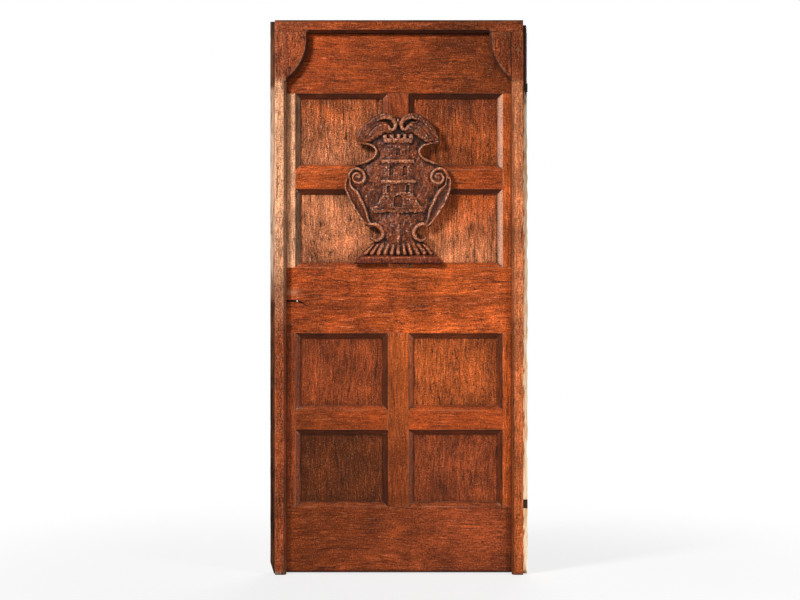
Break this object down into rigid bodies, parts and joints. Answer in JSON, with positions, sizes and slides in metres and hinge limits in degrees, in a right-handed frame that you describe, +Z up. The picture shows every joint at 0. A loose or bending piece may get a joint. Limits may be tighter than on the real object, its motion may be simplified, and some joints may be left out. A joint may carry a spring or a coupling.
{
  "type": "carved panel door with frame",
  "caption": "Old panelled timber door leaf with an applied carved tower cartouche, hung on iron pintles in a rebated frame with rounded corner ears.",
  "frame": {"origin": "on the floor, under the middle of the whole door with its frame", "axes": "+Z up, front towards -Y, +X to the right of someone who faces the front"},
  "size_m": [0.98, 0.101, 2.1],
  "materials": {
    "wood_red": "worn red-brown varnish",
    "wood_mid": "worn dark varnish",
    "wood_pale": "bleached varnish",
    "wood_dark": "dark worn varnish",
    "iron": "forged, blackened"
  },
  "bodies": {
    "frame": {"frame_head": "wood_red", "jamb_left": "wood_pale", "jamb_right": "wood_pale", "ear_left": "wood_red", "ear_right": "wood_red", "frame_pegs": "wood_mid", "pintle_upper": "iron", "pintle_lower": "iron", "bolt_keeper": "iron"},
    "leaf": {"top_rail": "wood_mid", "lock_rail": "wood_red", "bottom_rail": "wood_mid", "upper_stile_left": "wood_pale", "upper_stile_right": "wood_pale", "lower_stile_left": "wood_mid", "lower_stile_right": "wood_pale", "upper_muntin": "wood_red", "lower_muntin": "wood_mid", "upper_cross_rail_left": "wood_red", "upper_cross_rail_right": "wood_red", "lower_cross_rail_left": "wood_red", "lower_cross_rail_right": "wood_red", "panel_1_left": "wood_mid", "panel_1_right": "wood_mid", "panel_2_left": "wood_pale", "panel_2_right": "wood_pale", "panel_3_left": "wood_pale", "panel_3_right": "wood_pale", "panel_4_left": "wood_pale", "panel_4_right": "wood_pale", "carved_cartouche": "wood_dark", "leaf_pegs": "wood_mid", "hinge_upper": "iron", "hinge_lower": "iron", "hinge_nails": "iron", "bolt_staples": "iron"},
    "bolt": {"slide_bolt": "iron"}
  },
  "joints": [
    {"name": "leaf_swing", "type": "hinge", "parent": "frame", "child": "leaf", "pos_m": [0.478, 0.0385, 0], "axis": [0, 0, -1], "range_deg": [0, 100]},
    {"name": "bolt_slide", "type": "slide", "parent": "leaf", "child": "bolt", "axis": [-1, 0, 0], "range_m": [0, 0.052]}
  ]
}
